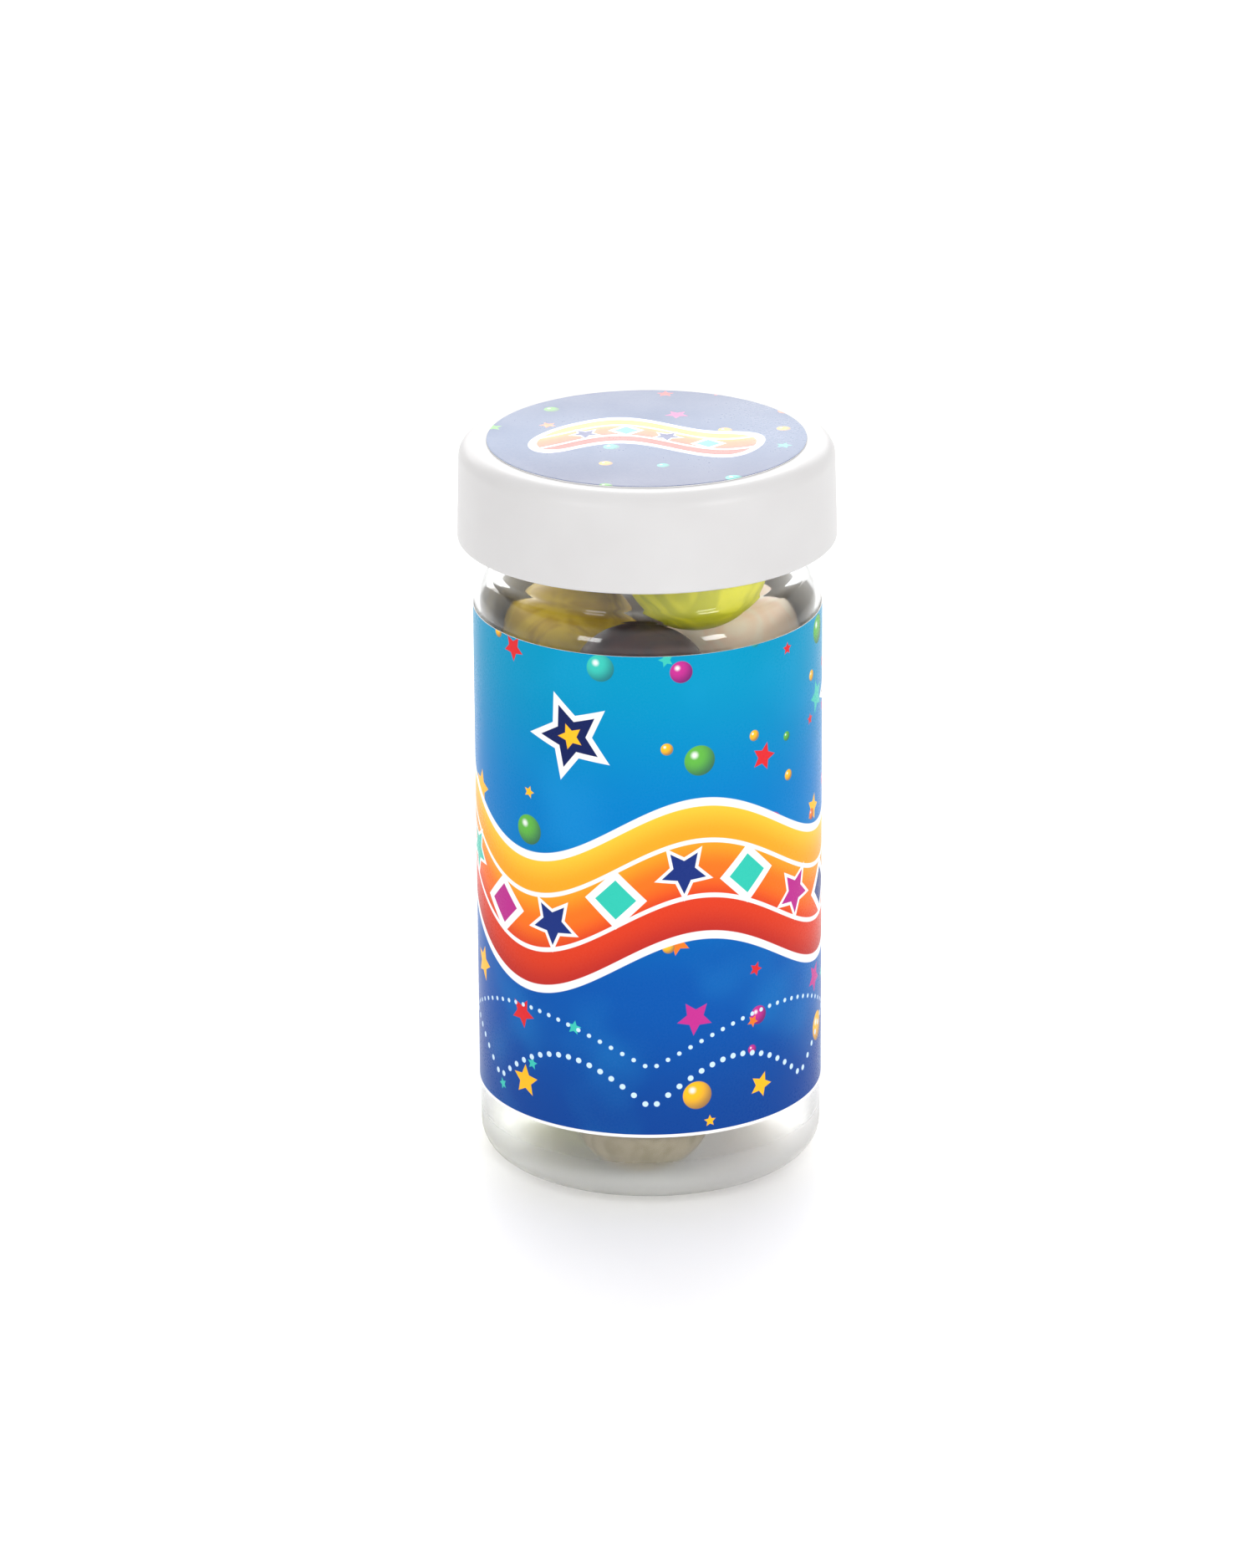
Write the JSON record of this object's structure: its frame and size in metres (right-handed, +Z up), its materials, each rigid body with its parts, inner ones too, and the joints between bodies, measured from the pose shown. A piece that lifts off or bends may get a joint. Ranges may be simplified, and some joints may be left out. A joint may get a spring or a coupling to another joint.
{
  "type": "jar of bouncy balls",
  "caption": "Clear screw-top jar with a white cap, sealing liner and printed wrap label, filled with loose solid rubber bouncy balls.",
  "frame": {"origin": "centre of the base, on the face that the jar stands on", "axes": "+Z up along the jar's axis, -Y out of the front of the label, +X to the right seen from the front"},
  "size_m": [0.071, 0.071, 0.1411],
  "materials": {
    "clear_pet": "clear, glossy",
    "white_cap": "smooth satin moulding",
    "liner_foam": "closed-cell foam",
    "wrap_print": "glossy printed film",
    "cap_print": "glossy printed film",
    "ball_red": "glossy moulded rubber",
    "ball_amber": "glossy moulded rubber",
    "ball_olive": "glossy moulded rubber",
    "ball_lime": "glossy moulded rubber",
    "ball_green": "glossy moulded rubber",
    "ball_teal": "glossy moulded rubber",
    "ball_blue": "glossy moulded rubber",
    "ball_violet": "glossy moulded rubber",
    "ball_pink": "glossy moulded rubber",
    "ball_peach": "glossy moulded rubber",
    "ball_maroon": "glossy moulded rubber",
    "ball_cream": "glossy moulded rubber"
  },
  "bodies": {
    "jar": {"jar": "clear_pet", "body_label": "wrap_print"},
    "liner": {"cap_liner": "liner_foam"},
    "cap": {"cap": "white_cap", "cap_label": "cap_print"},
    "ball_01": {"ball_01": "ball_lime"},
    "ball_02": {"ball_02": "ball_cream"},
    "ball_03": {"ball_03": "ball_peach"},
    "ball_04": {"ball_04": "ball_teal"},
    "ball_05": {"ball_05": "ball_red"},
    "ball_06": {"ball_06": "ball_pink"},
    "ball_07": {"ball_07": "ball_blue"},
    "ball_08": {"ball_08": "ball_amber"},
    "ball_09": {"ball_09": "ball_green"},
    "ball_10": {"ball_10": "ball_violet"},
    "ball_11": {"ball_11": "ball_red"},
    "ball_12": {"ball_12": "ball_teal"},
    "ball_13": {"ball_13": "ball_maroon"},
    "ball_14": {"ball_14": "ball_peach"},
    "ball_15": {"ball_15": "ball_olive"},
    "ball_16": {"ball_16": "ball_lime"},
    "ball_17": {"ball_17": "ball_maroon"}
  },
  "joints": [
    {"name": "cap_lift", "type": "slide", "parent": "jar", "child": "liner", "axis": [0, 0, 1], "range_m": [0, 0.0225]},
    {"name": "cap_turn", "type": "hinge", "parent": "liner", "child": "cap", "pos_m": [0, 0, 0.1391], "axis": [0, 0, 1], "range_deg": [0, 1800]},
    {"name": "ball_01_roll", "type": "hinge", "parent": "jar", "child": "ball_01", "pos_m": [-0.01466, 0.01027, 0.01529], "axis": [1, 0, 0], "continuous": true},
    {"name": "ball_02_roll", "type": "hinge", "parent": "jar", "child": "ball_02", "pos_m": [-0.00156, -0.01783, 0.01529], "axis": [1, 0, 0], "continuous": true},
    {"name": "ball_03_roll", "type": "hinge", "parent": "jar", "child": "ball_03", "pos_m": [0.01622, 0.00756, 0.01529], "axis": [1, 0, 0], "continuous": true},
    {"name": "ball_04_roll", "type": "hinge", "parent": "jar", "child": "ball_04", "pos_m": [0.00156, 0.01783, 0.03577], "axis": [1, 0, 0], "continuous": true},
    {"name": "ball_05_roll", "type": "hinge", "parent": "jar", "child": "ball_05", "pos_m": [-0.01622, -0.00756, 0.03577], "axis": [1, 0, 0], "continuous": true},
    {"name": "ball_06_roll", "type": "hinge", "parent": "jar", "child": "ball_06", "pos_m": [0.01466, -0.01027, 0.03577], "axis": [1, 0, 0], "continuous": true},
    {"name": "ball_07_roll", "type": "hinge", "parent": "jar", "child": "ball_07", "pos_m": [0.01622, 0.00756, 0.05625], "axis": [1, 0, 0], "continuous": true},
    {"name": "ball_08_roll", "type": "hinge", "parent": "jar", "child": "ball_08", "pos_m": [-0.01466, 0.01027, 0.05625], "axis": [1, 0, 0], "continuous": true},
    {"name": "ball_09_roll", "type": "hinge", "parent": "jar", "child": "ball_09", "pos_m": [-0.00156, -0.01783, 0.05625], "axis": [1, 0, 0], "continuous": true},
    {"name": "ball_10_roll", "type": "hinge", "parent": "jar", "child": "ball_10", "pos_m": [0.01466, -0.01027, 0.07673], "axis": [1, 0, 0], "continuous": true},
    {"name": "ball_11_roll", "type": "hinge", "parent": "jar", "child": "ball_11", "pos_m": [0.00156, 0.01783, 0.07673], "axis": [1, 0, 0], "continuous": true},
    {"name": "ball_12_roll", "type": "hinge", "parent": "jar", "child": "ball_12", "pos_m": [-0.01622, -0.00756, 0.07673], "axis": [1, 0, 0], "continuous": true},
    {"name": "ball_13_roll", "type": "hinge", "parent": "jar", "child": "ball_13", "pos_m": [-0.00156, -0.01783, 0.09721], "axis": [1, 0, 0], "continuous": true},
    {"name": "ball_14_roll", "type": "hinge", "parent": "jar", "child": "ball_14", "pos_m": [0.01622, 0.00756, 0.09721], "axis": [1, 0, 0], "continuous": true},
    {"name": "ball_15_roll", "type": "hinge", "parent": "jar", "child": "ball_15", "pos_m": [-0.01466, 0.01027, 0.09721], "axis": [1, 0, 0], "continuous": true},
    {"name": "ball_16_roll", "type": "hinge", "parent": "jar", "child": "ball_16", "pos_m": [0.00876, -0.01092, 0.12141], "axis": [1, 0, 0], "continuous": true},
    {"name": "ball_17_roll", "type": "hinge", "parent": "jar", "child": "ball_17", "pos_m": [-0.00274, 0.01373, 0.12141], "axis": [1, 0, 0], "continuous": true}
  ],
  "couplings": [
    {"joint": "cap_lift", "follows": "cap_turn", "m_per_rad": 0.0007162}
  ]
}
